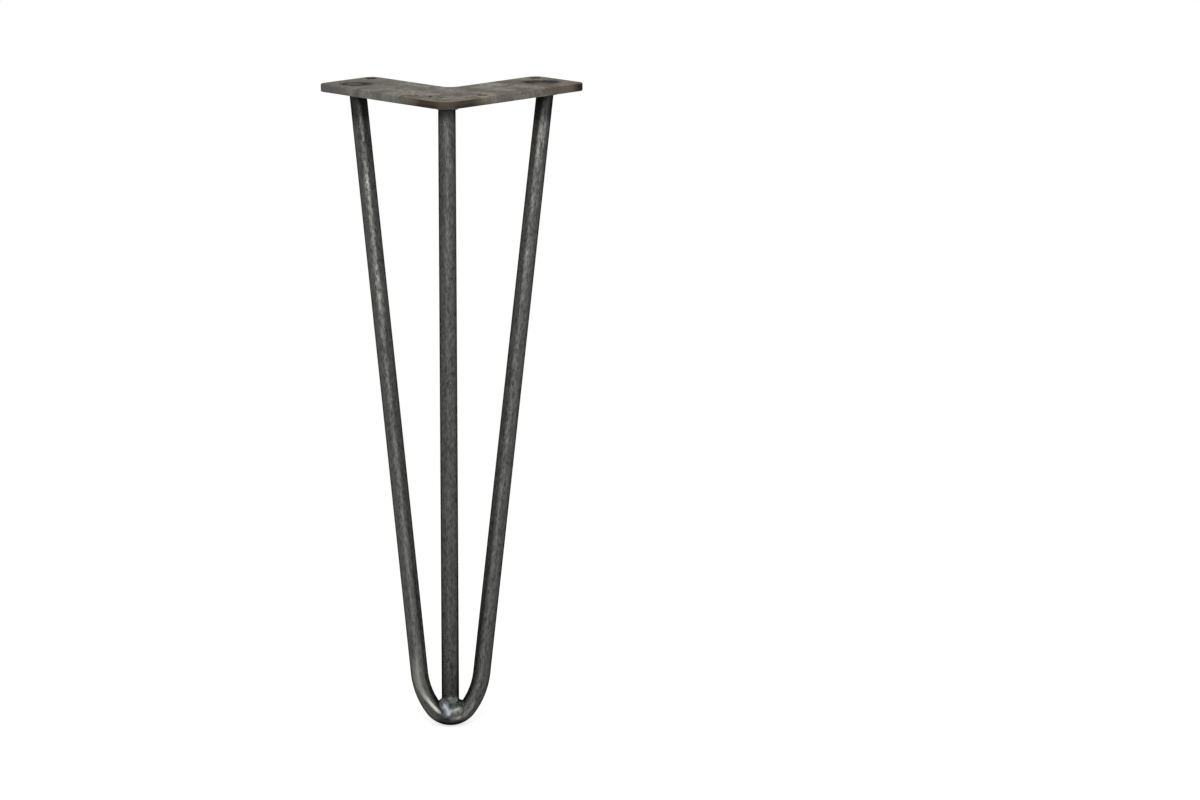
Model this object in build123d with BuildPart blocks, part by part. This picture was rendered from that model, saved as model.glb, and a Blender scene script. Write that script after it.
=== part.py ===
from build123d import *
import math
import os

# Three-rod hairpin table leg in bare mild steel, in millimetres and degrees.
# The origin lies on the plate's top face, where the centre lines of its two arms cross.
# +Z points up into the table top and -Y points out of the table's corner.
# The leg is the same left and right of the plane X = 0.

# Whole leg
overall_height = 355.0  # mounting face to floor
foot_reach = 32.0  # how far the foot stands outside the plate's outer corner

# Mounting plate
plate_thickness = 4.8
arm_length = 110.0  # along the outer edge, from the sharp outer corner
arm_width = 42.0
outer_corner_radius = 12.0
inner_corner_radius = 7.0
arm_tip_radius = 4.0  # at the outer edge, where an arm ends
arm_end_radius = 7.0  # at the inner edge, where an arm ends
edge_break = 0.4  # the cut edges are a little dulled
screw_hole_diameter = 6.0
screw_edge_distance = 7.0  # hole centre to the nearest edges
corner_screw_distance = 35.0  # hole centre to the outer corner, along the arm

# Rods
rod_diameter = 10.0
rod_edge_distance = 15.0  # rod centre to the plate's outer edge
rod_end_distance = 18.0  # rod centre to the end of the arm
nose_side_gap = 2.2  # room between the front rod and the inside of the bend, each side
nose_half_angle = 52.5  # part of the bend that has the tight radius
shoulder_radius = 41.0  # wider part of the bend, at the centre line
front_rod_land = 2.5  # flat end of the front rod above the bend's centre line

# Welds
plate_weld_size = 2.5  # from the rod out along the plate, and from the plate down the rod
weld_toe = 0.3  # thickness of a bead where it runs out on a rod
foot_lump_radius = 4.7
foot_lump_depth = 2.5  # lump centres in front of the front rod's axis
# lump centres, sideways and up from the bend's centre line
foot_lumps = ((0.0, 2.0), (-2.8, 4.6), (2.8, 4.6), (0.0, 8.0))

os.makedirs("parts", exist_ok=True)

# Places that follow from the sizes. On the plate, the first axis runs along the right arm
# and the second along the left arm.
rod_radius = rod_diameter / 2
underside = Plane(origin=(0, 0, -plate_thickness), x_dir=(1, 1, 0), z_dir=(0, 0, 1))
outer_edge = -arm_width / 2
inner_edge = arm_width / 2
arm_end = arm_length - arm_width / 2

rod_line = outer_edge + rod_edge_distance
front_seat = underside.from_local_coords((rod_line, rod_line, 0))
right_seat = underside.from_local_coords((arm_end - rod_end_distance, rod_line, 0))
left_seat = underside.from_local_coords((rod_line, arm_end - rod_end_distance, 0))

outer_corner = underside.from_local_coords((outer_edge, outer_edge, 0))
nose = Vector(0, outer_corner.Y - foot_reach, rod_radius - overall_height)


def upright_plane(rise):
    """Plane through the nose that holds the X direction and the given rise."""
    return Plane(origin=nose, x_dir=(1, 0, 0), z_dir=(0, -rise.Z, rise.Y))


# The hairpin lies in one leaning plane. Its straight legs are tangent to the shoulder arcs and
# run to the seats on the plate, which fixes how far they splay.
hairpin_rise = Vector(0, right_seat.Y, right_seat.Z) - nose
hairpin_plane = upright_plane(hairpin_rise)
nose_radius = rod_diameter + nose_side_gap
nose_turn = math.radians(nose_half_angle)
shoulder_centre_x = (nose_radius - shoulder_radius) * math.sin(nose_turn)
shoulder_centre_y = nose_radius - (nose_radius - shoulder_radius) * math.cos(nose_turn)
seat_dx = right_seat.X - shoulder_centre_x
seat_dy = hairpin_rise.length - shoulder_centre_y
seat_bearing = math.atan2(seat_dy, seat_dx)
splay = math.degrees(math.acos(shoulder_radius / math.hypot(seat_dx, seat_dy)) - seat_bearing)

front_rise = front_seat - nose
front_plane = upright_plane(front_rise)

# Mounting plate: laser-cut from flat stock
with BuildPart() as mounting_plate:
    with BuildSketch(underside):
        with BuildLine():
            FilletPolyline(
                (outer_edge, outer_edge),
                (arm_end, outer_edge),
                (arm_end, inner_edge),
                (inner_edge, inner_edge),
                (inner_edge, arm_end),
                (outer_edge, arm_end),
                radius=(
                    outer_corner_radius,
                    arm_tip_radius,
                    arm_end_radius,
                    inner_corner_radius,
                    arm_end_radius,
                    arm_tip_radius,
                ),
                close=True,
            )
        make_face()
    extrude(amount=plate_thickness)
    chamfer(mounting_plate.edges().group_by(Axis.Z)[0], length=edge_break)
    chamfer(mounting_plate.edges().group_by(Axis.Z)[-1], length=edge_break)
    with BuildSketch(underside):
        with Locations(
            (arm_end - screw_edge_distance, inner_edge - screw_edge_distance),
            (inner_edge - screw_edge_distance, arm_end - screw_edge_distance),
            (outer_edge + corner_screw_distance, outer_edge + screw_edge_distance),
            (outer_edge + screw_edge_distance, outer_edge + corner_screw_distance),
        ):
            Circle(screw_hole_diameter / 2)
    extrude(amount=plate_thickness, mode=Mode.SUBTRACT)
mounting_plate.part.label = "mounting_plate"
export_step(mounting_plate.part, "parts/mounting_plate.step")

# Hairpin rod: one bar bent to a tight nose between two wider shoulders, with its ends cut
# level so that they seat flat under the plate
with BuildPart() as hairpin_rod:
    with BuildLine(hairpin_plane):
        nose_arc = CenterArc((0, nose_radius), nose_radius, 270 - nose_half_angle, 2 * nose_half_angle)
        shoulder = JernArc(nose_arc @ 1, nose_arc % 1, shoulder_radius, 90 - splay - nose_half_angle)
        straight_run = (right_seat - shoulder @ 1).length + rod_diameter
        leg = Line(shoulder @ 1, shoulder @ 1 + (shoulder % 1) * straight_run)
        mirror(shoulder, about=Plane.YZ)
        mirror(leg, about=Plane.YZ)
    with BuildSketch(Plane(origin=leg @ 1, z_dir=leg % 1)):
        Circle(rod_radius)
    sweep()
    split(bisect_by=Plane.XY.offset(-plate_thickness), keep=Keep.BOTTOM)
hairpin_rod.part.label = "hairpin_rod"
export_step(hairpin_rod.part, "parts/hairpin_rod.step")

# Front rod: straight bar, cut level under the plate and coped at its foot to sit in the bend
front_direction = front_rise.normalized()
with BuildPart() as front_rod:
    with BuildSketch(Plane(origin=nose + front_direction * front_rod_land, z_dir=front_direction)):
        Circle(rod_radius)
    extrude(amount=front_rise.length)
    split(bisect_by=Plane.XY.offset(-plate_thickness), keep=Keep.BOTTOM)
    add(hairpin_rod.part, mode=Mode.SUBTRACT)
front_rod.part.label = "front_rod"
export_step(front_rod.part, "parts/front_rod.step")

# Plate welds: a fillet bead round each rod, against the plate's underside
right_direction = leg % 1
left_direction = Vector(-right_direction.X, right_direction.Y, right_direction.Z)
weld_slope = (plate_weld_size - weld_toe) / plate_weld_size
for weld_name, seat, direction, rod in (
    ("front_plate_weld", front_seat, front_direction, front_rod),
    ("right_plate_weld", right_seat, right_direction, hairpin_rod),
    ("left_plate_weld", left_seat, left_direction, hairpin_rod),
):
    across = direction.cross(Vector(0, 1, 0)).normalized()
    with BuildPart() as plate_weld:
        with BuildSketch(Plane(origin=seat, x_dir=across, z_dir=across.cross(direction))):
            with BuildLine():
                Polyline(
                    (0, rod_radius),
                    (rod_radius + plate_weld_size + weld_slope * rod_radius, rod_radius),
                    (rod_radius + weld_toe, -plate_weld_size),
                    (0, -plate_weld_size),
                    close=True,
                )
            make_face()
        revolve(axis=Axis(seat, direction))
        split(bisect_by=underside, keep=Keep.BOTTOM)
        add(rod.part, mode=Mode.SUBTRACT)
    plate_weld.part.label = weld_name
    export_step(plate_weld.part, f"parts/{weld_name}.step")

# Foot weld: four overlapping lumps of weld metal over the front of the joint and into its two
# crotches
lump_plane = front_plane.offset(foot_lump_depth)
with BuildPart() as foot_weld:
    with Locations(*[lump_plane.from_local_coords((*lump, 0)) for lump in foot_lumps]):
        Sphere(foot_lump_radius)
    add(hairpin_rod.part, mode=Mode.SUBTRACT)
    add(front_rod.part, mode=Mode.SUBTRACT)
foot_weld.part.label = "foot_weld"
export_step(foot_weld.part, "parts/foot_weld.step")
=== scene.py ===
import math
import random

import bmesh
import bpy
from mathutils import Matrix, Vector
from mathutils.kdtree import KDTree


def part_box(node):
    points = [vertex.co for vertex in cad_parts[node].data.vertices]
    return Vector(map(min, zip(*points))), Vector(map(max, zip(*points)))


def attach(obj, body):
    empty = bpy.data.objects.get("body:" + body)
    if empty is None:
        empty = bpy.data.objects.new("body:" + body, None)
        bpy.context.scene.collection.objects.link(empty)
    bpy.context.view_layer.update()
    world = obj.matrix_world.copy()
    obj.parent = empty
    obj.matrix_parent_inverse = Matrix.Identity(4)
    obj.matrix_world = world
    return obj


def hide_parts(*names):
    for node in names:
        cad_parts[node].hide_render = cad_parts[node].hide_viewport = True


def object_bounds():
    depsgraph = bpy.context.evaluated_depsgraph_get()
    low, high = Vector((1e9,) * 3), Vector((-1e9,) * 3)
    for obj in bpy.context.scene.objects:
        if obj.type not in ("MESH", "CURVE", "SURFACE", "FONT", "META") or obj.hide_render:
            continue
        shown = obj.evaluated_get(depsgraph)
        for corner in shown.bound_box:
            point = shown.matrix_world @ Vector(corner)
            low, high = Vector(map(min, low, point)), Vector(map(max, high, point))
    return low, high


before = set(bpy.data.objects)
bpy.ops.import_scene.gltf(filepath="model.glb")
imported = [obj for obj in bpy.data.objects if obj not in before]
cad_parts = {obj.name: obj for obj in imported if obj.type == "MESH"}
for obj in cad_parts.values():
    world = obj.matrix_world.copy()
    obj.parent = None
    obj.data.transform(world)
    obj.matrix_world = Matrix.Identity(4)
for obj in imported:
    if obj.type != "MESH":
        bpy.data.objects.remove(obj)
cad_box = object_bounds()

# Mounting plate: an L of 4.8 mm hot-rolled mild steel, laser-cut with round corners and four
# screw holes. The three bars are welded under it, and their heat has stained its top face.
MM = 0.001
plate_low, plate_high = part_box("mounting_plate")
plate_thickness = plate_high.z - plate_low.z
arm_length = 110 * MM
arm_width = 42 * MM
outer_corner_radius = 12 * MM
inner_corner_radius = 7 * MM
arm_tip_radius = 4 * MM
arm_end_radius = 7 * MM
edge_round = 0.8 * MM
screw_hole_radius = 3 * MM
screw_edge_distance = 7 * MM
corner_screw_distance = 35 * MM
corner_steps = 9
hole_steps = 40
edge_steps = 3
same_spot = 0.001 * MM
level_normal = 0.99

outer_edge = -arm_width / 2
inner_edge = arm_width / 2
arm_end = arm_length - arm_width / 2
plate_corners = [
    (outer_edge, outer_edge, outer_corner_radius),
    (arm_end, outer_edge, arm_tip_radius),
    (arm_end, inner_edge, arm_end_radius),
    (inner_edge, inner_edge, inner_corner_radius),
    (inner_edge, arm_end, arm_end_radius),
    (outer_edge, arm_end, arm_tip_radius),
]
screw_holes = [
    (arm_end - screw_edge_distance, inner_edge - screw_edge_distance),
    (inner_edge - screw_edge_distance, arm_end - screw_edge_distance),
    (outer_edge + corner_screw_distance, outer_edge + screw_edge_distance),
    (outer_edge + screw_edge_distance, outer_edge + corner_screw_distance),
]
# how dark the wall of each of these holes is painted: black laser oxide, and painted shade deep in the hole
hole_oxide_and_shade = (0.9, 0.85, 0.6, 0.35)


def rounded_outline(corners):
    """Points round a closed outline of square corners, each with its own radius."""
    points = []
    for i, (x, y, radius) in enumerate(corners):
        corner = Vector((x, y))
        arriving = (corner - Vector(corners[i - 1][:2])).normalized()
        leaving = (Vector(corners[(i + 1) % len(corners)][:2]) - corner).normalized()
        centre = corner + (leaving - arriving) * radius
        for step in range(corner_steps + 1):
            turn = math.pi / 2 * step / corner_steps
            points.append(centre - leaving * radius * math.cos(turn) + arriving * radius * math.sin(turn))
    return points


def hole_outline(x, y):
    """Points round one screw hole."""
    turns = [2 * math.pi * step / hole_steps for step in range(hole_steps)]
    return [Vector((x + screw_hole_radius * math.cos(t), y + screw_hole_radius * math.sin(t))) for t in turns]


def link(name, data):
    """New object in the scene."""
    made = bpy.data.objects.new(name, data)
    bpy.context.scene.collection.objects.link(made)
    return made


def settled(thing):
    """Mesh of an object as its settings and modifiers leave it. The object itself is removed."""
    mesh = bpy.data.meshes.new_from_object(thing.evaluated_get(bpy.context.evaluated_depsgraph_get()))
    bpy.data.objects.remove(thing)
    return mesh


cut_shape = bpy.data.curves.new("plate_cut", "CURVE")
cut_shape.dimensions = "2D"
cut_shape.fill_mode = "BOTH"
cut_shape.extrude = plate_thickness / 2 - edge_round
cut_shape.bevel_depth = edge_round
cut_shape.bevel_resolution = edge_steps
cut_shape.offset = -edge_round
for outline in [rounded_outline(plate_corners)] + [hole_outline(x, y) for x, y in screw_holes]:
    spline = cut_shape.splines.new("POLY")
    spline.points.add(len(outline) - 1)
    for point, spot in zip(spline.points, outline):
        point.co = (spot.x, spot.y, 0, 1)
    spline.use_cyclic_u = True
plate_mesh = settled(link("plate_cut", cut_shape))
plate_turn = Matrix.Rotation(math.pi / 4, 4, "Z")
plate_mesh.transform(Matrix.Translation((0, 0, plate_low.z + plate_thickness / 2)) @ plate_turn)
form = bmesh.new()
form.from_mesh(plate_mesh)
bmesh.ops.remove_doubles(form, verts=form.verts, dist=same_spot)
bmesh.ops.recalc_face_normals(form, faces=form.faces)
hole_centres = [plate_turn @ Vector((x, y, 0)) for x, y in screw_holes]
cut_wall = form.verts.layers.float.new("cut_wall")
for vertex in form.verts:
    for centre, wall_darkness in zip(hole_centres, hole_oxide_and_shade):
        if (vertex.co.xy - centre.xy).length < screw_hole_radius + edge_round / 2:
            vertex[cut_wall] = wall_darkness
for face in form.faces:
    face.smooth = abs(face.normal.z) < level_normal
for edge in form.edges:
    edge.smooth = all(face.smooth for face in edge.link_faces)
form.to_mesh(plate_mesh)
form.free()
plate = link("plate", plate_mesh)

# where the bars stand under the plate
rod_radius = 5 * MM
rod_edge_distance = 15 * MM
rod_end_distance = 18 * MM
rod_line = outer_edge + rod_edge_distance
left_seat = plate_turn @ Vector((rod_line, arm_end - rod_end_distance, plate_low.z))
right_seat = plate_turn @ Vector((arm_end - rod_end_distance, rod_line, plate_low.z))
front_seat = plate_turn @ Vector((rod_line, rod_line, plate_low.z))


def linear(colour):
    """Linear RGBA of an sRGB hex colour."""
    parts = [int(colour[i : i + 2], 16) / 255 for i in (1, 3, 5)]
    return [c / 12.92 if c <= 0.04045 else ((c + 0.055) / 1.055) ** 2.4 for c in parts] + [1.0]


def new_material(name):
    """Material with an empty node tree, and that tree."""
    material = bpy.data.materials.new(name)
    material.use_nodes = True
    material.node_tree.nodes.clear()
    return material, material.node_tree


def node(tree, kind, sockets, out=0, **settings):
    """Adds a node with its settings, sets or links its sockets, and returns one of its outputs.

    A MapRange takes a value (0), its range (1, 2) and the range to map it to (3, 4). A Mix of colours
    takes a share (0) and two colours (6, 7), and gives its colour as output 2.
    """
    made = tree.nodes.new("ShaderNode" + kind)
    for setting, value in settings.items():
        setattr(made, setting, value)
    for socket, value in sockets.items():
        if isinstance(value, bpy.types.NodeSocket):
            tree.links.new(value, made.inputs[socket])
        else:
            made.inputs[socket].default_value = value
    return made.outputs[out] if made.outputs else made


# Hot-rolled plate with a thin oxide skin: a dull warm grey, clouded, flecked and specked, cooler on
# one arm. The welds beneath have burnt dark rounds into it, the walls of the holes are black from the
# laser and from painted shade, the cut faces are darkened by oxide and painted shade, with a painted
# highlight along their rim, and the outer edge is brown from the heat beside the corner.
cloud_size = 14 * MM
fleck_size = 2.4 * MM
speck_size = 4.5 * MM
plate_steel, tree = new_material("hot_rolled_plate")
place = node(tree, "TexCoord", {}, "Object")
across = node(tree, "SeparateXYZ", {0: place}, "X")
inward = node(tree, "SeparateXYZ", {0: place}, "Y")
clouds = node(tree, "TexNoise", {"Vector": place, "Scale": 1 / cloud_size, "Detail": 5.0, "Distortion": 0.6})
flecks = node(tree, "TexNoise", {"Vector": place, "Scale": 1 / fleck_size, "Detail": 4.0, "Roughness": 0.65})
specks = node(tree, "TexNoise", {"Vector": place, "Scale": 1 / speck_size, "Detail": 2.0})
cloudy = node(tree, "MapRange", {0: clouds, 1: 0.36, 2: 0.64}, interpolation_type="SMOOTHSTEP")
tone = node(tree, "Mix", {0: cloudy, 6: linear("#77736b"), 7: linear("#aaa499")}, 2, data_type="RGBA")
cool = node(tree, "MapRange", {0: across, 1: 0, 2: -75 * MM, 3: 0.0, 4: 0.7})
dull = node(tree, "MapRange", {0: across, 1: 25 * MM, 2: 55 * MM, 3: 0.0, 4: 0.35})
fleck = node(tree, "MapRange", {0: flecks, 1: 0.62, 2: 0.36, 3: 0.0, 4: 0.65})
speck = node(tree, "MapRange", {0: specks, 1: 0.38, 2: 0.3, 3: 0.0, 4: 0.55})
for amount, colour in ((cool, "#74766f"), (dull, "#6d675d"), (fleck, "#524d46"), (speck, "#443d36")):
    tone = node(tree, "Mix", {0: amount, 6: tone, 7: linear(colour)}, 2, data_type="RGBA")

# burnt rounds, a little wider across than deep, whose outline wobbles with the clouds and the flecks
cloud_wobble = 3 * MM
fleck_wobble = 1.2 * MM
squash = (1, 1.35, 0)
wobble = node(tree, "MapRange", {0: clouds, 1: 0.2, 2: 0.8, 3: -cloud_wobble, 4: cloud_wobble})
ragged = node(tree, "MapRange", {0: flecks, 1: 0.3, 2: 0.7, 3: -fleck_wobble, 4: fleck_wobble})
wobble = node(tree, "Math", {0: wobble, 1: ragged}, operation="ADD")
plan = node(tree, "VectorMath", {0: place, 1: squash}, operation="MULTIPLY")
for seat, across_mm, in_mm, radius_mm, scorch, pale_middle, out_mm in (
    # bar; centre from the bar's, across and inwards (mm); radius (mm); how dark; how far the middle is
    # left pale, and how far that lies outwards (mm)
    (left_seat, -2.0, -0.5, 10.5, 1.0, 0.7, 1.0),
    (right_seat, -2.0, 4.5, 11.5, 1.0, 0.5, 5.0),
    (front_seat, 0.0, 2.0, 9.0, 0.35, 0.9, 0.0),
):
    spot = (seat.x + across_mm * MM, (seat.y + in_mm * MM) * squash[1], 0)
    pale_spot = (spot[0], spot[1] - out_mm * MM * squash[1], 0)
    radius = radius_mm * MM
    reach = node(tree, "VectorMath", {0: plan, 1: spot}, "Value", operation="DISTANCE")
    reach = node(tree, "Math", {0: reach, 1: wobble}, operation="ADD")
    halo = node(tree, "MapRange", {0: reach, 1: 2.2 * radius, 2: radius, 3: 0.0, 4: 0.35 * scorch})
    tone = node(tree, "Mix", {0: halo, 6: tone, 7: linear("#6b5f4d")}, 2, data_type="RGBA")
    burnt_and_shade = node(tree, "MapRange", {0: reach, 1: 1.1 * radius, 2: 0.8 * radius, 3: 0.0, 4: scorch})
    middle = node(tree, "VectorMath", {0: plan, 1: pale_spot}, "Value", operation="DISTANCE")
    middle = node(tree, "MapRange", {0: middle, 1: 0.3 * radius, 2: 0.6 * radius, 3: 1 - pale_middle, 4: 1.0})
    burnt_and_shade = node(tree, "Math", {0: burnt_and_shade, 1: middle}, operation="MULTIPLY")
    tone = node(tree, "Mix", {0: burnt_and_shade, 6: tone, 7: linear("#211d1b")}, 2, data_type="RGBA")

# a dark pit in the top face, longer than it is wide
pit_squeeze = (1, 0.25, 1)
pit_spot = (-9.4 * MM, -7.2 * MM * pit_squeeze[1], 0)
pit = node(tree, "VectorMath", {0: place, 1: pit_squeeze}, operation="MULTIPLY")
pit = node(tree, "VectorMath", {0: pit, 1: pit_spot}, "Value", operation="DISTANCE")
pit = node(tree, "MapRange", {0: pit, 1: 1.1 * MM, 2: 0.6 * MM, 3: 0.0, 4: 0.95})
tone = node(tree, "Mix", {0: pit, 6: tone, 7: linear("#15100d")}, 2, data_type="RGBA")

# the cut edge: darker grey for its oxide and painted shade, with a painted highlight along its rim and
# brown beside the corner, a duller patch at the corner itself, bluish on the left tip and dark brown on
# the right one
facing = node(tree, "NewGeometry", {}, "Normal")
upward = node(tree, "SeparateXYZ", {0: facing}, "Z")
upward = node(tree, "Math", {0: upward}, operation="ABSOLUTE")
# painted highlight: a pale line where the rounded top rim turns, beside the corner
rim_highlight = node(tree, "MapRange", {0: upward, 1: 0.99, 2: 0.8})
on_edge = node(tree, "MapRange", {0: upward, 1: 0.75, 2: 0.35})
sideways = node(tree, "Math", {0: across}, operation="ABSOLUTE")
outer_side = node(tree, "Math", {0: inward, 1: sideways}, operation="SUBTRACT")
outer_side = node(tree, "MapRange", {0: outer_side, 1: -10 * MM, 2: -22 * MM})
# painted shade on the upright cut faces, laid over their darker laser oxide
edge_oxide_and_shade = node(tree, "Math", {0: on_edge, 1: 0.45}, operation="MULTIPLY")
tone = node(tree, "Mix", {0: edge_oxide_and_shade, 6: tone, 7: linear("#5c5c5b")}, 2, data_type="RGBA")
near_corner = node(tree, "MapRange", {0: sideways, 1: 26 * MM, 2: 15 * MM})
near_corner = node(tree, "Math", {0: near_corner, 1: outer_side}, operation="MULTIPLY")
low = node(tree, "SeparateXYZ", {0: place}, "Z")
low = node(tree, "MapRange", {0: low, 1: 0.45 * plate_low.z, 2: 0.95 * plate_low.z})
low = node(tree, "Math", {0: low, 1: near_corner}, operation="MULTIPLY")
for edge_part, place_along, colour, amount in (
    (rim_highlight, near_corner, "#a4987f", 0.6),
    (on_edge, near_corner, "#362f2b", 0.9),
    (on_edge, low, "#1d1817", 0.7),
    (on_edge, node(tree, "MapRange", {0: sideways, 1: 6 * MM, 2: 4 * MM}), "#4d483e", 0.9),
    (on_edge, node(tree, "MapRange", {0: across, 1: -58 * MM, 2: -70 * MM}), "#5c5c68", 0.35),
    (on_edge, node(tree, "MapRange", {0: across, 1: 45 * MM, 2: 60 * MM}), "#5c5342", 0.6),
    (on_edge, node(tree, "MapRange", {0: across, 1: 70 * MM, 2: 74 * MM}), "#2e2620", 0.9),
):
    tint = node(tree, "Math", {0: edge_part, 1: place_along}, operation="MULTIPLY")
    tint = node(tree, "Math", {0: tint, 1: amount}, operation="MULTIPLY")
    tone = node(tree, "Mix", {0: tint, 6: tone, 7: linear(colour)}, 2, data_type="RGBA")
# painted shade: the hole walls are darkened past their laser oxide, standing in for the shade inside each
# hole
hole_wall = node(tree, "Attribute", {}, "Fac", attribute_name="cut_wall")
tone = node(tree, "Mix", {0: hole_wall, 6: tone, 7: linear("#332c28")}, 2, data_type="RGBA")

roughness = node(tree, "MapRange", {0: flecks, 1: 0.3, 2: 0.7, 3: 0.42, 4: 0.6})
relief = node(tree, "Bump", {"Height": flecks, "Strength": 0.25, "Distance": 0.1 * MM}, "Normal")
surface = node(
    tree,
    "BsdfPrincipled",
    {
        "Base Color": tone,
        "Metallic": 1.0,
        "Roughness": roughness,
        "Specular Tint": linear("#bcbcbc"),
        "Normal": relief,
    },
)
node(tree, "OutputMaterial", {"Surface": surface})
plate.data.materials.append(plate_steel)
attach(plate, "root")
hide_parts("mounting_plate")

# Hairpin rod: one 10 mm round bar of hot-rolled mild steel, cold-bent to a tight nose between
# two wider shoulders. Both ends are sawn level and welded under the plate's arms.
foot_reach = 32 * MM
nose_radius = 12.2 * MM
nose_half_angle = math.radians(52.5)
shoulder_radius = 41 * MM
ring_steps = 56
bend_step = 0.6 * MM
straight_step = 3 * MM

outer_corner = plate_turn @ Vector((outer_edge, outer_edge, 0))
floor_height = cad_box[0].z
nose = Vector((0, outer_corner.y - foot_reach, floor_height + rod_radius))


def spaced(low, high, step):
    """Values from low up to high, a step apart or a little less. High itself is left out."""
    count = math.ceil((high - low) / step)
    return [low + (high - low) * i / count for i in range(count)]


def swept_bar(name, path, front, top_ends):
    """Round bar along a path of points. Ends that stand under the plate are cut level with it.

    Each vertex keeps its place on the bar as if that were straight: forward, sideways, along.
    """
    form = bmesh.new()
    straightened = form.verts.layers.float_vector.new("on_bar")
    rings = []
    along = 0.0
    for i, centre in enumerate(path):
        before = path[max(i - 1, 0)]
        after = path[min(i + 1, len(path) - 1)]
        heading = (after - before).normalized()
        side = heading.cross(front)
        along += (centre - before).length
        ring = []
        for step in range(ring_steps):
            turn = 2 * math.pi * step / ring_steps
            spot = centre + (front * math.cos(turn) + side * math.sin(turn)) * rod_radius
            if i in top_ends:
                spot += heading * (centre.z - spot.z) / heading.z
            vertex = form.verts.new(spot)
            vertex[straightened] = (rod_radius * math.cos(turn), rod_radius * math.sin(turn), along)
            ring.append(vertex)
        rings.append(ring)
    for ring, following in zip(rings, rings[1:]):
        for step in range(ring_steps):
            beside = (step + 1) % ring_steps
            form.faces.new((ring[step], ring[beside], following[beside], following[step])).smooth = True
    form.faces.new(rings[0])
    form.faces.new(rings[-1])
    bmesh.ops.recalc_face_normals(form, faces=form.faces)
    mesh = bpy.data.meshes.new(name)
    form.to_mesh(mesh)
    form.free()
    return link(name, mesh)


# the bend is drawn in the bar's own leaning plane, from the nose out to the right and upwards
rise = Vector((0, right_seat.y, right_seat.z)) - nose
hairpin_up = rise.normalized()
hairpin_front = Vector((1, 0, 0)).cross(hairpin_up)
shoulder_x = (nose_radius - shoulder_radius) * math.sin(nose_half_angle)
shoulder_y = nose_radius - (nose_radius - shoulder_radius) * math.cos(nose_half_angle)
seat_x = right_seat.x - shoulder_x
seat_y = rise.length - shoulder_y
splay = math.acos(shoulder_radius / math.hypot(seat_x, seat_y)) - math.atan2(seat_y, seat_x)
half_bend = []
for turn in spaced(0, nose_half_angle, bend_step / nose_radius):
    half_bend.append((nose_radius * math.sin(turn), nose_radius * (1 - math.cos(turn))))
for turn in spaced(nose_half_angle, math.pi / 2 - splay, bend_step / shoulder_radius):
    x = shoulder_x + shoulder_radius * math.sin(turn)
    y = shoulder_y - shoulder_radius * math.cos(turn)
    half_bend.append((x, y))
leg_start_x = shoulder_x + shoulder_radius * math.cos(splay)
leg_start_y = shoulder_y - shoulder_radius * math.sin(splay)
leg_start = Vector((leg_start_x, leg_start_y))
leg_end = Vector((right_seat.x, rise.length))
for part in spaced(0, 1, straight_step / (leg_end - leg_start).length):
    half_bend.append(leg_start.lerp(leg_end, part))
half_bend.append(leg_end)
bend = [(-x, y) for x, y in reversed(half_bend[1:])] + half_bend
hairpin_path = [nose + Vector((x, 0, 0)) + hairpin_up * y for x, y in bend]
hairpin = swept_bar("hairpin_bar", hairpin_path, hairpin_front, (0, len(hairpin_path) - 1))

# Round bar with dark mill scale: a near-black steel grey with a faint lengthwise grain, darkest where
# the welds burnt it, with painted shade just under the plate, under the nose and low down. The scale is
# rubbed through to brighter metal in flecks high on the face of the legs, and in streaks on the bend, and
# these carry painted highlights. Painted light makes the legs' outer side paler.
patch_width = 3.5 * MM
patch_stretch = 6.0
# the real grain is finer than a pixel, so it is drawn as coarse as it needs to show
grain_width = 0.9 * MM
grain_stretch = 3.2
# which way the rubbed face of each leg, with its painted highlight, is turned; outwards is plus
face_turn_left = math.radians(-3)
face_turn_right = math.radians(7)
rod_steel, tree = new_material("mill_scale_bar")
on_bar = node(tree, "Attribute", {}, "Vector", attribute_name="on_bar")
place = node(tree, "TexCoord", {}, "Object")
height = node(tree, "SeparateXYZ", {0: place}, "Z")
above_nose = node(tree, "Math", {0: height, 1: nose.z}, operation="SUBTRACT")
across = node(tree, "SeparateXYZ", {0: place}, "X")
aside = node(tree, "Math", {0: across}, operation="ABSOLUTE")
forward = node(tree, "SeparateXYZ", {0: on_bar}, "X")
outward = node(tree, "SeparateXYZ", {0: on_bar}, "Y")
along_grain = node(tree, "VectorMath", {0: on_bar, 1: (1, 1, 1 / grain_stretch)}, operation="MULTIPLY")
along_patch = node(tree, "VectorMath", {0: on_bar, 1: (1, 1, 1 / patch_stretch)}, operation="MULTIPLY")
grain = node(
    tree,
    "TexNoise",
    {"Vector": along_grain, "Scale": 1 / grain_width, "Detail": 4.0, "Roughness": 0.65},
)
patches = node(tree, "TexNoise", {"Vector": along_patch, "Scale": 1 / patch_width, "Detail": 3.0})
# grain and patches all over, with painted shade low down, least so on the left leg, and painted light on the
# legs' outer side
grainy = node(tree, "MapRange", {0: grain, 1: 0.34, 2: 0.66})
patchy = node(tree, "MapRange", {0: patches, 1: 0.38, 2: 0.62})
lower_shade = node(tree, "MapRange", {0: height, 1: -150 * MM, 2: -330 * MM})
less_left = node(tree, "MapRange", {0: across, 1: -6 * MM, 2: -14 * MM, 3: 1.0, 4: 0.2})
lower_shade = node(tree, "Math", {0: lower_shade, 1: less_left}, operation="MULTIPLY")
dark = node(tree, "Mix", {0: lower_shade, 6: linear("#2c2c2c"), 7: linear("#242423")}, 2, data_type="RGBA")
light = node(tree, "Mix", {0: lower_shade, 6: linear("#5b5b59"), 7: linear("#515150")}, 2, data_type="RGBA")
tone = node(tree, "Mix", {0: grainy, 6: dark, 7: light}, 2, data_type="RGBA")
lighter = node(tree, "Math", {0: patchy, 1: 0.35}, operation="MULTIPLY")
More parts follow.
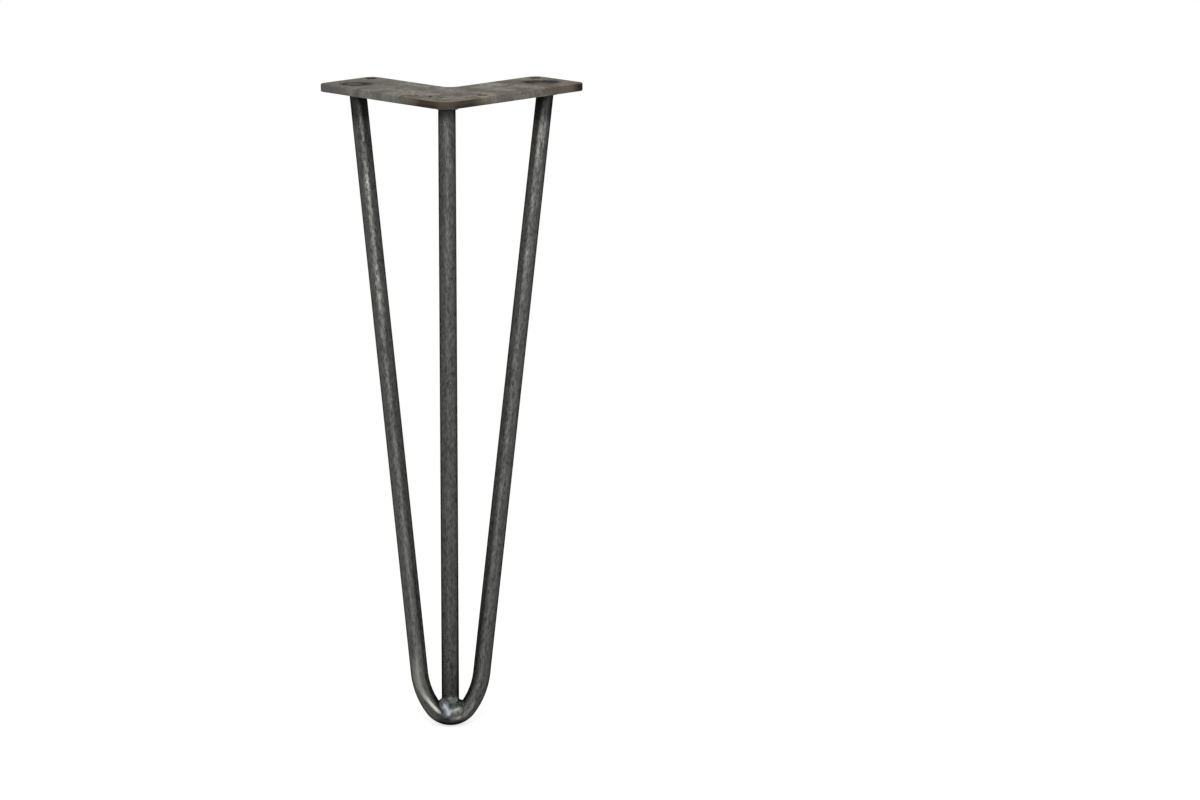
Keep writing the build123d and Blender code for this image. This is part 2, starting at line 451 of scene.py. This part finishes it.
tone = node(tree, "Mix", {0: lighter, 6: tone, 7: light}, 2, data_type="RGBA")
# painted light: the outer side of the side legs is made paler, as if lit from beside
outer_side_light = node(tree, "MapRange", {0: outward, 1: 1.5 * MM, 2: 4.5 * MM, 3: 0.0, 4: 0.35})
off_middle = node(tree, "MapRange", {0: aside, 1: 7 * MM, 2: 12 * MM})
not_right = node(tree, "MapRange", {0: across, 1: -5 * MM, 2: 5 * MM, 3: 1.0, 4: 0.3})
for share in (off_middle, not_right):
    outer_side_light = node(tree, "Math", {0: outer_side_light, 1: share}, operation="MULTIPLY")
tone = node(tree, "Mix", {0: outer_side_light, 6: tone, 7: linear("#666664")}, 2, data_type="RGBA")

# rubbed flecks on the face of the bars, with a painted highlight laid over them, on a face that is turned a
# little to the right on both legs, and the brightest of them, the strongest painted highlight, high on the
# right leg
face_slope = node(
    tree,
    "MapRange",
    {0: across, 1: -20 * MM, 2: 20 * MM, 3: math.tan(face_turn_left), 4: math.tan(face_turn_right)},
)
on_face = node(tree, "Math", {0: outward, 1: face_slope, 2: forward}, operation="MULTIPLY_ADD")
on_face = node(
    tree,
    "MapRange",
    {0: on_face, 1: 0.83 * rod_radius, 2: 0.98 * rod_radius},
    interpolation_type="SMOOTHSTEP",
)
rubbed_and_highlight = node(tree, "MapRange", {0: grain, 1: 0.4, 2: 0.66, 3: 0.0, 4: 0.76})
on_legs = node(tree, "MapRange", {0: aside, 1: 12 * MM, 2: 45 * MM, 3: 0.22, 4: 1.0})
upper = node(tree, "MapRange", {0: height, 1: -190 * MM, 2: -60 * MM, 3: 0.2, 4: 1.0})
less_right = node(tree, "MapRange", {0: across, 1: 20 * MM, 2: 40 * MM, 3: 1.0, 4: 0.42})
for share in (on_face, on_legs, upper, patchy, less_right):
    rubbed_and_highlight = node(tree, "Math", {0: rubbed_and_highlight, 1: share}, operation="MULTIPLY")
tone = node(tree, "Mix", {0: rubbed_and_highlight, 6: tone, 7: linear("#9a9894")}, 2, data_type="RGBA")
brightest_rub_and_highlight = node(tree, "MapRange", {0: height, 1: -44 * MM, 2: -32 * MM, 3: 0.0, 4: 0.36})
right_leg = node(tree, "MapRange", {0: across, 1: 30 * MM, 2: 40 * MM})
right_of_face = node(tree, "MapRange", {0: outward, 1: -0.8 * MM, 2: 0.6 * MM, 3: 0.2, 4: 1.0})
for share in (right_leg, right_of_face, on_face, grainy):
    brightest_rub_and_highlight = node(tree, "Math", {0: brightest_rub_and_highlight, 1: share}, operation="MULTIPLY")
tone = node(tree, "Mix", {0: brightest_rub_and_highlight, 6: tone, 7: linear("#bdbab4")}, 2, data_type="RGBA")

# burnt and painted shade under the plate, burnt round the foot weld, and painted shade under the nose
further = node(tree, "MapRange", {0: aside, 1: 8 * MM, 2: 20 * MM, 3: 0.0, 4: 8.5 * MM})
burnt_and_shade = node(tree, "Math", {0: height, 1: further}, operation="ADD")
burnt_and_shade = node(tree, "MapRange", {0: burnt_and_shade, 1: -15 * MM, 2: -8.5 * MM, 3: 0.0, 4: 0.85})
tone = node(tree, "Mix", {0: burnt_and_shade, 6: tone, 7: linear("#2b2b2a")}, 2, data_type="RGBA")
near_weld = node(tree, "MapRange", {0: above_nose, 1: 35 * MM, 2: 12 * MM, 3: 0.0, 4: 0.6})
in_line = node(tree, "MapRange", {0: aside, 1: 8 * MM, 2: 5 * MM})
burnt_and_shade = node(tree, "Math", {0: near_weld, 1: in_line}, operation="MULTIPLY")
tone = node(tree, "Mix", {0: burnt_and_shade, 6: tone, 7: linear("#1f1f1e")}, 2, data_type="RGBA")
# painted shade: the underside of the nose is darkened, as if shadowed by the floor beneath it
shade_beneath = node(tree, "MapRange", {0: above_nose, 1: -0.5 * MM, 2: -4 * MM, 3: 0.0, 4: 0.68})
tone = node(tree, "Mix", {0: shade_beneath, 6: tone, 7: linear("#171717")}, 2, data_type="RGBA")

# a rubbed streak with a painted highlight that crosses the face of the left bend on its way down to the
# nose, and lighter scuffs on the right of the nose that carry a painted highlight
streak_line = node(tree, "MapRange", {0: above_nose, 1: 18 * MM, 2: 6 * MM, 3: 1.7 * MM, 4: -0.8 * MM})
streak_and_highlight = node(tree, "Math", {0: outward, 1: streak_line}, operation="SUBTRACT")
streak_and_highlight = node(tree, "Math", {0: streak_and_highlight}, operation="ABSOLUTE")
streak_half = node(tree, "MapRange", {0: above_nose, 1: 20 * MM, 2: 8 * MM, 3: 2.4 * MM, 4: 1.4 * MM})
streak_and_highlight = node(tree, "MapRange", {0: streak_and_highlight, 1: streak_half, 2: 0.5 * MM})
on_left = node(tree, "MapRange", {0: across, 1: -4 * MM, 2: -8 * MM})
dim_part = node(tree, "MapRange", {0: above_nose, 1: 36 * MM, 2: 28 * MM, 3: 0.0, 4: 0.28})
low_part = node(tree, "MapRange", {0: above_nose, 1: 15 * MM, 2: 8 * MM, 3: 0.0, 4: 0.44})
low_down = node(tree, "Math", {0: dim_part, 1: low_part}, operation="ADD")
uneven = node(tree, "MapRange", {0: patches, 1: 0.38, 2: 0.62, 3: 0.65, 4: 1.0})
for share in (on_left, low_down, uneven):
    streak_and_highlight = node(tree, "Math", {0: streak_and_highlight, 1: share}, operation="MULTIPLY")
tone = node(tree, "Mix", {0: streak_and_highlight, 6: tone, 7: linear("#c2c0bb")}, 2, data_type="RGBA")
# painted highlight: the scuffs are lightened, as if catching the light
scuff_line = 1.6 * MM
scuff_and_highlight = node(tree, "Math", {0: outward, 1: scuff_line}, operation="SUBTRACT")
scuff_and_highlight = node(tree, "Math", {0: scuff_and_highlight}, operation="ABSOLUTE")
scuff_and_highlight = node(tree, "MapRange", {0: scuff_and_highlight, 1: 1.6 * MM, 2: 0.4 * MM})
on_right = node(tree, "MapRange", {0: across, 1: -1 * MM, 2: 2 * MM})
at_nose = node(tree, "MapRange", {0: above_nose, 1: 12 * MM, 2: 5 * MM})
for share in (on_right, at_nose, uneven, grainy):
    scuff_and_highlight = node(tree, "Math", {0: scuff_and_highlight, 1: share}, operation="MULTIPLY")
tone = node(tree, "Mix", {0: scuff_and_highlight, 6: tone, 7: linear("#989790")}, 2, data_type="RGBA")

roughness = node(tree, "MapRange", {0: rubbed_and_highlight, 1: 0.0, 2: 1.0, 3: 0.44, 4: 0.34})
relief = node(tree, "Bump", {"Height": grain, "Strength": 0.2, "Distance": 0.08 * MM}, "Normal")
surface = node(
    tree,
    "BsdfPrincipled",
    {
        "Base Color": tone,
        "Metallic": 1.0,
        "Roughness": roughness,
        "Specular Tint": linear("#737373"),
        "Normal": relief,
    },
)
node(tree, "OutputMaterial", {"Surface": surface})
hairpin.data.materials.append(rod_steel)
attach(hairpin, "root")
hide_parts("hairpin_rod")

# Front rod: a straight length of the same bar from the plate's outer corner down to the nose.
# Its foot is ground hollow to sit in the bend.
front_rod_land = 2.5 * MM
sharp_turn = math.radians(60)  # an edge that turns by more than this stays sharp
front_up = (front_seat - nose).normalized()
front_face = Vector((1, 0, 0)).cross(front_up)
front_foot = nose + front_up * front_rod_land
front_step = straight_step / (front_seat - front_foot).length
front_path = [front_foot.lerp(front_seat, part) for part in spaced(0, 1, front_step)] + [front_seat]
front_top = (len(front_path) - 1,)


def seated_on(neighbours, blank):
    """Mesh of a blank with the shapes of its neighbours cut out of it. The blank itself is removed."""
    for neighbour in neighbours:
        cut = blank.modifiers.new("cut", "BOOLEAN")
        cut.operation = "DIFFERENCE"
        cut.solver = "MANIFOLD"
        cut.object = neighbour
    mesh = settled(blank)
    mesh.materials.clear()
    mesh.shade_smooth()
    mesh.set_sharp_from_angle(angle=sharp_turn)
    return mesh


front_blank = swept_bar("front_blank", front_path, front_face, front_top)
front_bar = link("front_bar", seated_on([hairpin], front_blank))
# the cut leaves its new vertices without a place on the bar, so each gets its own again
front_side = front_up.cross(front_face)
on_front_bar = front_bar.data.attributes["on_bar"]
for vertex in front_bar.data.vertices:
    spot = vertex.co - front_foot
    on_front_bar.data[vertex.index].vector = (spot.dot(front_face), spot.dot(front_side), spot.dot(front_up))
front_bar.data.materials.append(rod_steel)
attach(front_bar, "root")
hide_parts("front_rod")

# Plate welds: one bead of weld metal round each bar, against the plate's underside. Each was laid
# as a row of overlapping puddles, which leaves a scalloped ring.
puddle_pitch = 2.0 * MM
# half sizes: away from the bar, along the ring, and up and down
puddle_size = Vector((1.9, 1.5, 1.6)) * MM
puddle_offset = 0.5 * MM
puddle_unevenness = 0.1
ball_detail = 4
bead_wetting = 8
weld_voxel = 0.25 * MM
chance = random.Random(7)


def weld_metal(name, puddles, wetting, neighbours):
    """Puddles of weld metal, given as placed unit balls, run together into a lump on its neighbours."""
    ball = bmesh.new()
    bmesh.ops.create_icosphere(ball, subdivisions=ball_detail, radius=1)
    spots = [puddle @ vertex.co for puddle in puddles for vertex in ball.verts]
    faces = []
    for i in range(len(puddles)):
        faces += [[vertex.index + i * len(ball.verts) for vertex in face.verts] for face in ball.faces]
    ball.free()
    mesh = bpy.data.meshes.new(name)
    mesh.from_pydata(spots, [], faces)
    lump = link(name + "_puddles", mesh)
    run_together = lump.modifiers.new("run_together", "REMESH")
    run_together.mode = "VOXEL"
    run_together.voxel_size = weld_voxel
    wetted = lump.modifiers.new("wetted", "SMOOTH")
    wetted.factor = 0.5
    wetted.iterations = wetting
    return link(name, seated_on(neighbours, lump))


# Bare weld metal: a smooth, mottled dark oxide skin, painted highlights as bright glints on some of the
# runs, and burnt scale in the hollows. Each spot's level, from burnt scale (-1) to painted glint (1), is
# kept on the mesh, and a mesh that keeps nothing counts as 0.
mottle_size = 3.2 * MM
weld_steel, tree = new_material("bare_weld_metal")
place = node(tree, "TexCoord", {}, "Object")
mottle = node(tree, "TexNoise", {"Vector": place, "Scale": 1 / mottle_size, "Detail": 4.0, "Distortion": 1.0})
mottled = node(tree, "MapRange", {0: mottle, 1: 0.35, 2: 0.65})
tone = node(tree, "Mix", {0: mottled, 6: linear("#262928"), 7: linear("#535957")}, 2, data_type="RGBA")
scale_and_glint_level = node(tree, "Attribute", {}, "Fac", attribute_name="scale_and_glint")
uneven = node(tree, "MapRange", {0: mottle, 1: 0.3, 2: 0.55, 3: 0.3, 4: 1.0})
scale_and_glint = node(tree, "Math", {0: scale_and_glint_level, 1: uneven}, operation="MULTIPLY")
# the painted glint on the right of the foot is a warmer white than the one on the left
across = node(tree, "SeparateXYZ", {0: place}, "X")
warmer_glint = node(tree, "MapRange", {0: across, 1: -0.5 * MM, 2: 1.5 * MM})
glint_colour = node(tree, "Mix", {0: warmer_glint, 6: linear("#ced3dc"), 7: linear("#d6d2be")}, 2, data_type="RGBA")
tone = node(tree, "Mix", {0: scale_and_glint, 6: tone, 7: glint_colour}, 2, data_type="RGBA")
scaled = node(tree, "MapRange", {0: scale_and_glint_level, 1: 0.0, 2: -1.0})
tone = node(tree, "Mix", {0: scaled, 6: tone, 7: linear("#161716")}, 2, data_type="RGBA")
roughness = node(tree, "MapRange", {0: scale_and_glint, 1: 0.0, 2: 1.0, 3: 0.42, 4: 0.25})
surface = node(
    tree,
    "BsdfPrincipled",
    {"Base Color": tone, "Metallic": 1.0, "Roughness": roughness, "Specular Tint": linear("#959595")},
)
node(tree, "OutputMaterial", {"Surface": surface})

bead_radius = rod_radius + puddle_offset
puddle_count = round(2 * math.pi * bead_radius / puddle_pitch)
for name, seat, bar in (
    ("left_plate_weld", left_seat, hairpin),
    ("right_plate_weld", right_seat, hairpin),
    ("front_plate_weld", front_seat, front_bar),
):
    puddles = []
    for i in range(puddle_count):
        turn = 2 * math.pi * i / puddle_count
        spoke = Vector((math.cos(turn), math.sin(turn), 0))
        centre = seat + spoke * bead_radius + Vector((0, 0, -puddle_offset))
        size = puddle_size * (1 + puddle_unevenness * chance.uniform(-1, 1))
        puddles.append(Matrix.LocRotScale(centre, Matrix.Rotation(turn, 3, "Z"), size))
    bead = weld_metal(name + "_bead", puddles, bead_wetting, [bar, plate])
    bead.data.materials.append(weld_steel)
    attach(bead, "root")
    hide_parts(name)

# Foot weld: ten short runs of weld metal over the front of the joint between the straight bar and
# the nose, melted into one lump that has wetted both bars and filled the crotches beside them.
foot_runs = (
    # start and end, sideways and up from the nose; out from the bar's axis; radius (mm); level from burnt
    # scale (-1) to painted glint (1)
    ((-3.6, 7.6), (-0.9, 1.6), 2.5, 3.5, 0.07),
    ((1.0, 3.4), (5.6, 4.9), 2.5, 3.2, 0.1),
    ((-0.8, 10.3), (2.0, 10.1), 1.9, 3.9, 0.14),
    ((-3.4, 1.5), (2.6, 1.5), 2.6, 2.8, 0.02),
    ((3.6, 7.0), (6.0, 6.2), 0.4, 3.5, -0.35),
    ((-4.7, 6.0), (-4.7, 4.4), 0.0, 3.4, 0.0),
    ((3.0, 1.8), (6.6, 3.2), 2.7, 2.7, 0.06),
    ((-3.2, 7.0), (-0.6, 1.6), 4.5, 1.7, 0.95),
    ((0.8, 3.5), (5.4, 4.8), 4.2, 1.7, 0.6),
    ((0.9, 6.2), (2.6, 6.6), 2.2, 3.0, -0.5),
)
run_step = 0.8  # mm, as in the table
run_span = 1 + 1e-6  # a hair over 1, so that a run of whole steps gets one ball more
wetted_reach = 16 * MM
wetted_depth = 0.1 * MM
foot_wetting = 18
bar_scale_glint = -0.2
balls_near = 16
nearness_power = 12
foot_balls = []
for start, end, out_mm, radius_mm, scale_glint_value in foot_runs:
    for part in spaced(0, run_span, run_step / (Vector(end) - Vector(start)).length):
        sideways_mm, up_mm = Vector(start).lerp(Vector(end), part)
        centre = nose + (Vector((sideways_mm, 0, 0)) + front_up * up_mm + front_face * out_mm) * MM
        foot_balls.append((centre, radius_mm * MM, scale_glint_value))
# the bars take part, so that the lump runs out thinly on them; what lies inside them is taken away
bar_points = [point for point in hairpin_path if (point - nose).length < wetted_reach]
bar_points += [front_foot + front_up * along for along in spaced(rod_radius, wetted_reach, bend_step)]
for point in bar_points:
    foot_balls.append((point, rod_radius - wetted_depth, bar_scale_glint))
placed = [Matrix.LocRotScale(centre, None, Vector((1, 1, 1)) * radius) for centre, radius, _ in foot_balls]
# the straight bar cuts the lump as it was before its foot was ground hollow, so that no sliver stays
# between it and the nose
front_core = swept_bar("front_core", front_path, front_face, front_top)
foot_weld = weld_metal("foot_weld_knot", placed, foot_wetting, [hairpin, front_core])
bpy.data.objects.remove(front_core)
# each vertex takes the level of scale and painted glint of the runs and bars nearest to it
balls = KDTree(len(foot_balls))
for i, (centre, _, _) in enumerate(foot_balls):
    balls.insert(centre, i)
balls.balance()
foot_scale_glint = foot_weld.data.attributes.new("scale_and_glint", "FLOAT", "POINT")
for vertex in foot_weld.data.vertices:
    scale_glint_sum = 0.0
    nearness_sum = 0.0
    for _, i, gap in balls.find_n(vertex.co, balls_near):
        _, radius, scale_glint_value = foot_balls[i]
        nearness = (radius / gap) ** nearness_power
        scale_glint_sum += nearness * scale_glint_value
        nearness_sum += nearness
    foot_scale_glint.data[vertex.index].value = scale_glint_sum / nearness_sum
foot_weld.data.materials.append(weld_steel)
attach(foot_weld, "root")
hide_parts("foot_weld")

# Studio: a pale floor under the foot, white all round, and two large softboxes. The floor fades
# into the white round the object and keeps its shadow near the foot.
floor_half = 20.0
shadow_reach = 0.1
white_from = 0.6
floor_lift = 0.6
fill_strength = 0.5
floor_mesh = bpy.data.meshes.new("floor")
floor_corners = ((-1, -1), (1, -1), (1, 1), (-1, 1))
floor_spots = [(x * floor_half, y * floor_half, floor_height) for x, y in floor_corners]
floor_mesh.from_pydata(floor_spots, [], [(0, 1, 2, 3)])
floor = link("floor", floor_mesh)


def in_view(tree):
    """1 for a ray from the camera, from gloss or through glass, and 0 for the light on things."""
    ray = tree.nodes.new("ShaderNodeLightPath")
    seen = ray.outputs["Is Camera Ray"]
    for kind in ("Is Glossy Ray", "Is Transmission Ray"):
        seen = node(tree, "Math", {0: seen, 1: ray.outputs[kind]}, operation="MAXIMUM")
    return seen


# Matt white paint: pale, without gloss, and lifted near the foot so that only the shadow shows.
floor_paint, tree = new_material("matt_white_paint")
seen = in_view(tree)
place = node(tree, "TexCoord", {}, "Object")
away = node(tree, "VectorMath", {0: place, 1: (nose.x, nose.y, floor_height)}, "Value", operation="DISTANCE")
faded = node(tree, "MapRange", {0: away, 1: shadow_reach, 2: white_from}, interpolation_type="SMOOTHSTEP")
faded = node(tree, "Math", {0: faded, 1: seen}, operation="MULTIPLY")
matt = node(tree, "BsdfDiffuse", {"Color": linear("#e7e7e7")})
lift = node(tree, "Math", {0: seen, 1: floor_lift}, operation="MULTIPLY")
lift = node(tree, "Emission", {"Strength": lift})
near_floor = node(tree, "AddShader", {0: matt, 1: lift})
white = node(tree, "Emission", {"Strength": 1.0})
surface = node(tree, "MixShader", {0: faded, 1: near_floor, 2: white})
node(tree, "OutputMaterial", {"Surface": surface})
floor.data.materials.append(floor_paint)

# the world is white where it is seen, and fills in half as strongly
world = bpy.data.worlds.new("white_studio")
world.use_nodes = True
world.node_tree.nodes.clear()
tree = world.node_tree
strength = node(tree, "MapRange", {0: in_view(tree), 1: 0.0, 2: 1.0, 3: fill_strength, 4: 1.0})
surroundings = node(tree, "Background", {"Color": linear("#ffffff"), "Strength": strength})
node(tree, "OutputWorld", {"Surface": surroundings})
bpy.context.scene.world = world

leg_middle = (cad_box[0] + cad_box[1]) / 2
for name, spot, width, tall, power in (
    # place, width and height (m); power (W)
    ("front_softbox", Vector((-0.1, -2.4, 1.2)), 2.2, 1.6, 27),
    ("side_softbox", Vector((1.8, -1.2, 0.1)), 0.8, 1.4, 3.5),
):
    softbox = bpy.data.lights.new(name, "AREA")
    softbox.shape = "RECTANGLE"
    softbox.size = width
    softbox.size_y = tall
    softbox.energy = power
    lamp = link(name, softbox)
    lamp.location = spot
    lamp.rotation_euler = (spot - leg_middle).to_track_quat("Z", "Y").to_euler()

# Camera: a long lens a little above the plate and to the right of the leg's middle plane. The
# leg stands left of the middle of the picture, and the camera leans by under a degree.
picture_width = 1200
picture_height = 800
aim = Vector((0, 20, -175)) * MM
aim_in_picture = (453.3, 387.3)
distance = 2.2
tilt = math.radians(12.755)
turn = math.radians(2.937)
lean = math.radians(-0.783)
lens = 112.9
sensor_width = 36.0
camera_data = bpy.data.cameras.new("camera")
camera_data.lens = lens
camera_data.sensor_width = sensor_width
camera = link("camera", camera_data)
backward = Vector((math.sin(turn) * math.cos(tilt), -math.cos(turn) * math.cos(tilt), math.sin(tilt)))
level = Vector((0, 0, 1)).cross(backward).normalized()
upright = backward.cross(level)
rightward = level * math.cos(lean) + upright * math.sin(lean)
upright = backward.cross(rightward)
pixels_deep = lens / sensor_width * picture_width
pixels_right = picture_width / 2 - aim_in_picture[0]
pixels_up = aim_in_picture[1] - picture_height / 2
looking_back = (backward * pixels_deep - rightward * pixels_right - upright * pixels_up).normalized()
rightward = upright.cross(looking_back).normalized()
upright = looking_back.cross(rightward)
pose = Matrix((rightward, upright, looking_back)).transposed()
camera.matrix_world = Matrix.LocRotScale(aim + backward * distance, pose, None)
bpy.context.scene.camera = camera
bpy.context.scene.view_settings.view_transform = "Standard"
